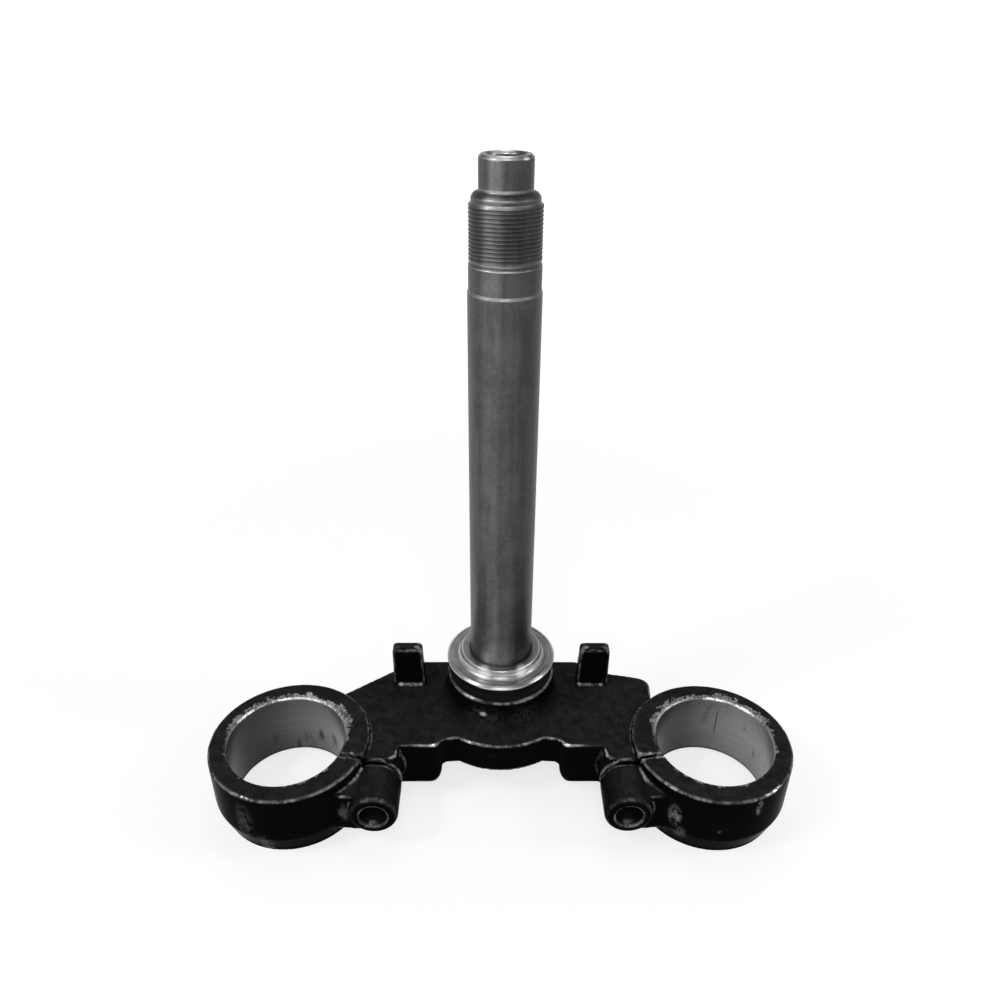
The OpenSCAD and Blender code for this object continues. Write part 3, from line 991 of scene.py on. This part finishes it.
    def build(self) -> Piece:
        """Blends the corners, cuts the bores again and paints the casting.

        Returns:
            The finished casting.
        """
        casting = self.filled_copy()
        apply_modifier(casting, "REMESH", mode="VOXEL", voxel_size=self.grain * MM)
        apply_modifier(casting, "SMOOTH", factor=0.5, iterations=3)
        faces = count_triangles(casting)
        log.info("blended casting: %d triangles", faces)
        apply_modifier(casting, "DECIMATE", ratio=min(1.0, self.triangles / faces))
        for cutter in self.cutters():
            cut_with(casting, cutter)
        dress(casting, 32, self.finish.material())
        self.mark_wear(casting)
        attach(casting, "root")
        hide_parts("bottom_yoke")
        return casting


@dataclass
class SteeringStem:
    """The hollow turned stem with its journal, fine thread, step and spigot."""

    tube_r: float = 13.25
    foot_z: float = -39.3
    bore_r: float = 9.0
    journal_z: float = 171.2
    journal_r: float = 12.85
    journal_run: float = 0.8  # height of the slope below the journal
    thread_z: float = 180.9
    thread_r: float = 12.7
    runout_h: float = 0.6  # height of the groove below the thread
    runout_depth: float = 0.5
    runout_slope: float = 0.3  # height of its lower flank
    shoulder_z: float = 199.4
    shoulder_r: float = 11.8
    shoulder_run: float = 1.0  # height of the slope above the thread
    step_in: float = 0.9  # how far the shoulder narrows below the spigot
    step_run: Point = (1.8, 0.6)  # how far below the spigot that starts and ends
    spigot_z: float = 203.7
    spigot_r: float = 9.25
    fillet: float = 0.4
    top_z: float = 215.1
    core_r: float = 6.25
    core_depth: float = 26.0  # depth of the tapped core in the top
    chamfer: float = 0.9  # chamfer of the ends
    rounding: float = 0.12
    pitch: float = 1.35
    crest_depth: float = 0.42
    groove: float = 0.42  # half a thread groove's width, as a share of the pitch
    root: float = 0.07  # half the width of its root
    tool_out: float = 0.3  # how far the thread's tool stands out of the shaft
    thread_in: float = 1.0  # distance from the thread's start to the winding
    thread_out: float = 0.6  # distance from the winding to the thread's end
    winding_steps: int = 72
    finish: StemSteel = field(default_factory=StemSteel)

    def body(self) -> Piece:
        """Turns the stem with its bore.

        Returns:
            The stem before its thread is cut.
        """
        c = self.chamfer
        runout_r = self.thread_r - self.runout_depth
        profile = [
            (self.bore_r + c, self.foot_z),
            (self.tube_r - c, self.foot_z),
            (self.tube_r, self.foot_z + c),
            (self.tube_r, self.journal_z - self.journal_run),
            (self.journal_r, self.journal_z),
            (self.journal_r, self.thread_z - self.runout_h - self.runout_slope),
            (runout_r, self.thread_z - self.runout_h),
            (runout_r, self.thread_z),
            (self.thread_r, self.thread_z + self.runout_depth),
            (self.thread_r, self.shoulder_z),
            (self.shoulder_r, self.shoulder_z + self.shoulder_run),
            (self.shoulder_r, self.spigot_z - self.step_run[0]),
            (self.shoulder_r - self.step_in, self.spigot_z - self.step_run[1]),
            (self.spigot_r + self.fillet, self.spigot_z),
            (self.spigot_r, self.spigot_z + self.fillet),
            (self.spigot_r, self.top_z - c),
            (self.spigot_r - c, self.top_z),
            (self.core_r + c, self.top_z),
            (self.core_r, self.top_z - c),
            (self.core_r, self.top_z - self.core_depth),
            (self.bore_r, self.top_z - self.core_depth - self.bore_r + self.core_r),
            (self.bore_r, self.foot_z + c),
        ]
        return turned("steering_stem_turned", profile)

    def thread_tool(self) -> Piece:
        """Makes the winding tool that cuts the thread's grooves.

        Returns:
            The tool, a closed ridge wound along the axis.
        """
        low, high = self.thread_z + self.thread_in, self.shoulder_z - self.thread_out
        half = self.pitch * self.groove
        outer, inner = self.thread_r + self.tool_out, self.thread_r - self.crest_depth
        ridge = [
            (outer, -half),
            (self.thread_r, -half),
            (inner, -self.root),
            (inner, self.root),
            (self.thread_r, half),
            (outer, half),
        ]
        tool = drawn(ridge, low)
        with editing(tool):
            bpy.ops.mesh.edge_face_add()
        apply_modifier(
            tool,
            "SCREW",
            axis="Z",
            screw_offset=self.pitch * MM,
            iterations=round((high - low) / self.pitch),
            steps=self.winding_steps,
            render_steps=self.winding_steps,
            use_merge_vertices=False,
        )
        with editing(tool):
            bpy.ops.mesh.remove_doubles(threshold=WELD)
            bpy.ops.mesh.select_all(action="DESELECT")
            bpy.ops.mesh.select_non_manifold()
            bpy.ops.mesh.edge_face_add()
            bpy.ops.mesh.select_all(action="SELECT")
            bpy.ops.mesh.normals_make_consistent(inside=False)
        return tool

    def build(self) -> Piece:
        """Turns the stem, cuts its thread and finishes it.

        Returns:
            The finished stem.
        """
        stem = self.body()
        soften(stem, self.rounding)
        cut_with(stem, self.thread_tool())
        dress(stem, 30, self.finish.material())
        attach(stem, "root")
        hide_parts("steering_stem")
        return stem


@dataclass
class LowerRace:
    """The lower bearing race, ground all over, with its ball track."""

    hole_r: float = 13.27
    seat_z: float = 7.2
    rim_r: float = 23.7
    rim_top: float = 9.0
    rim_corner: float = 0.3
    bevel: float = 1.1  # width of the bevel on the rim
    bevel_drop: float = 0.8  # height of that bevel, as a share of its width
    collar_r: float = 17.2
    collar_corner: float = 0.4
    top_z: float = 12.1
    mouth: float = 0.6
    track_r: float = 3.0
    track_floor: float = 1.1  # thickness below the track
    track_end: float = -172.0  # angle at which the track meets the collar, in degrees
    track_steps: int = 18
    rounding: float = 0.12
    finish: GroundSteel = field(default_factory=GroundSteel)

    def build(self) -> Piece:
        """Turns and polishes the race.

        Returns:
            The finished race.
        """
        centre = (self.collar_r + self.track_r, self.seat_z + self.track_floor + self.track_r)
        lip = math.degrees(math.asin((centre[1] - self.rim_top) / self.track_r))
        profile = [
            (self.hole_r, self.seat_z),
            (self.rim_r - self.rim_corner, self.seat_z),
            (self.rim_r, self.seat_z + self.rim_corner),
            (self.rim_r, self.rim_top - self.bevel_drop * self.bevel),
            (self.rim_r - self.bevel, self.rim_top),
            *arc(centre, self.track_r, -lip, self.track_end, self.track_steps),
            (self.collar_r, self.top_z - self.collar_corner),
            (self.collar_r - self.collar_corner, self.top_z),
            (self.hole_r + self.mouth, self.top_z),
            (self.hole_r, self.top_z - self.mouth),
        ]
        race = turned("lower_race_ground", profile)
        soften(race, self.rounding)
        dress(race, 30, self.finish.material())
        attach(race, "root")
        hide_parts("lower_bearing_race")
        return race


@dataclass
class DustSeal:
    """The rubber seal with two lips and a groove between them."""

    inner_r: float = 16.55
    lip_r: float = 22.8
    low: float = 0.05
    high: float = 7.15
    corner: float = 0.5
    groove: float = 1.3
    lips_z: Point = (2.16, 5.184)  # upper edge of the lower lip, lower edge of the upper lip
    floor_z: Point = (3.024, 4.176)  # where the groove's floor starts and ends
    rounding: float = 0.35
    finish: SealRubber = field(default_factory=SealRubber)

    def build(self) -> Piece:
        """Moulds the seal.

        Returns:
            The finished seal.
        """
        r, c, floor_r = self.lip_r, self.corner, self.lip_r - self.groove
        profile = [
            (self.inner_r, self.low),
            (r - c, self.low),
            (r, self.low + c),
            (r, self.lips_z[0]),
            (floor_r, self.floor_z[0]),
            (floor_r, self.floor_z[1]),
            (r, self.lips_z[1]),
            (r, self.high - c),
            (r - c, self.high),
            (self.inner_r, self.high),
        ]
        seal = turned("dust_seal_rubber", profile)
        soften(seal, self.rounding, 3)
        dress(seal, 40, self.finish.material())
        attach(seal, "root")
        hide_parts("dust_seal")
        return seal


# Studio


@dataclass
class Studio:
    """Pale floor, soft light and the camera."""

    floor_z: float = -45.0
    floor_side: float = 24.0  # side of the floor, in metres
    floor_level: float = 0.32  # colour of the floor under its glow
    glow: Point = (0.74, 1.0)  # how brightly the floor glows by itself, near the part and far off
    glow_r: Point = (250.0, 900.0)
    sky: Point = (1.0, 0.3)  # how brightly the sky shines at the horizon and overhead
    sky_rise: Point = (0.08, 0.5)  # sines of the heights between which it dims
    eye: Place = (-4.868, -287.595, 250.601)
    pitch: float = 29.710  # how far the camera looks down, in degrees
    yaw: float = 0.769  # how far it looks to the right, in degrees
    roll: float = 0.56  # how far it is tilted, in degrees
    lens: float = 29.905  # focal length for a 36 mm sensor
    lamps: tuple[tuple[Place, float, float], ...] = (  # softboxes: place and side in metres, power in watts
        ((-0.75, -0.35, 0.95), 0.24, 3.2),
        ((0.98, -0.13, 0.74), 0.24, 2.8),
        ((0.0, -0.90, 1.10), 0.45, 3.6),
        ((0.0, 0.3, 1.3), 0.4, 1.6),
    )

    def floor(self) -> Piece:
        """Lays the floor.

        Returns:
            The floor.
        """
        clear_selection()
        bpy.ops.mesh.primitive_plane_add(size=self.floor_side)
        floor = bpy.context.object
        floor.name = "pale_floor"
        shift(floor, 0, 0, self.floor_z)
        s = Shader("pale_floor")
        s.finish(Base_Color=grey(self.floor_level), Roughness=0.8, Specular_IOR_Level=0.2)
        rays = s.node("ShaderNodeLightPath").outputs
        seen = s.math("MAXIMUM", *(rays[f"Is {kind} Ray"] for kind in ("Camera", "Glossy", "Transmission")))
        glow = s.node("ShaderNodeEmission")
        s.feed(glow.inputs["Strength"], s.times(seen, s.ramp(s.radius_from(), *self.glow_r, self.glow)))
        lit = s.node("ShaderNodeAddShader")
        s.feed(lit.inputs[0], s.surface.outputs[0])
        s.feed(lit.inputs[1], glow.outputs[0])
        # seen from below, the floor isn't there
        sides = s.node("ShaderNodeMixShader")
        s.feed(sides.inputs[0], s.node("ShaderNodeNewGeometry").outputs["Backfacing"])
        s.feed(sides.inputs[1], lit.outputs[0])
        s.feed(sides.inputs[2], s.node("ShaderNodeBsdfTransparent").outputs[0])
        out = next(n for n in s.tree.nodes if n.type == "OUTPUT_MATERIAL")
        s.feed(out.inputs["Surface"], sides.outputs[0])
        floor.data.materials.append(s.material)
        return floor

    def surroundings(self) -> None:
        """Sets the pale surroundings: white at the horizon and dimmer overhead."""
        world = bpy.data.worlds.new("studio")
        bpy.context.scene.world = world
        world.use_nodes = True
        nodes, links = world.node_tree.nodes, world.node_tree.links
        place = nodes.new("ShaderNodeTexCoord")
        split = nodes.new("ShaderNodeSeparateXYZ")
        fade = nodes.new("ShaderNodeMapRange")
        links.new(place.outputs["Generated"], split.inputs[0])
        links.new(split.outputs["Z"], fade.inputs["Value"])
        for name, value in zip(("From Min", "From Max", "To Min", "To Max"), (*self.sky_rise, *self.sky)):
            fade.inputs[name].default_value = value
        links.new(fade.outputs[0], nodes["Background"].inputs["Strength"])
        nodes["Background"].inputs["Color"].default_value = (1, 1, 1, 1)

    def lights(self) -> None:
        """Hangs the softboxes, each turned to the part."""
        for place, side, power in self.lamps:
            lamp = bpy.data.lights.new("softbox", "AREA")
            lamp.size, lamp.energy = side, power
            box = bpy.data.objects.new("softbox", lamp)
            box.location = place
            box.rotation_euler = (-Vector(place)).to_track_quat("-Z", "Y").to_euler()
            bpy.context.collection.objects.link(box)

    def camera(self) -> None:
        """Puts the camera where the photograph was taken."""
        lens = bpy.data.cameras.new("camera")
        lens.sensor_width, lens.lens, lens.clip_start = 36, self.lens, 0.01
        camera = bpy.data.objects.new("camera", lens)
        bpy.context.collection.objects.link(camera)
        turns = ((-self.yaw, "Z"), (90.0 - self.pitch, "X"), (self.roll, "Z"))
        placed = Matrix.Translation(Vector(self.eye) * MM)
        for angle, axis in turns:
            placed = placed @ Matrix.Rotation(math.radians(angle), 4, axis)
        camera.matrix_world = placed
        bpy.context.scene.camera = camera

    def build(self) -> None:
        """Sets up the floor, the surroundings, the lights and the camera."""
        self.floor()
        self.surroundings()
        self.lights()
        self.camera()
        bpy.context.scene.view_settings.view_transform = "Standard"


def report(pieces: Iterable[Piece]) -> None:
    """Logs each piece with its triangles.

    Args:
        pieces: The finished pieces.
    """
    for piece in pieces:
        log.info("%s: %d triangles", piece.name, count_triangles(piece))


def main() -> None:
    """Builds every piece and the studio."""
    logging.basicConfig(level=logging.INFO, format="%(name)s %(message)s")
    report([Yoke().build(), SteeringStem().build(), LowerRace().build(), DustSeal().build()])
    Studio().build()


if __name__ == "__main__":
    main()
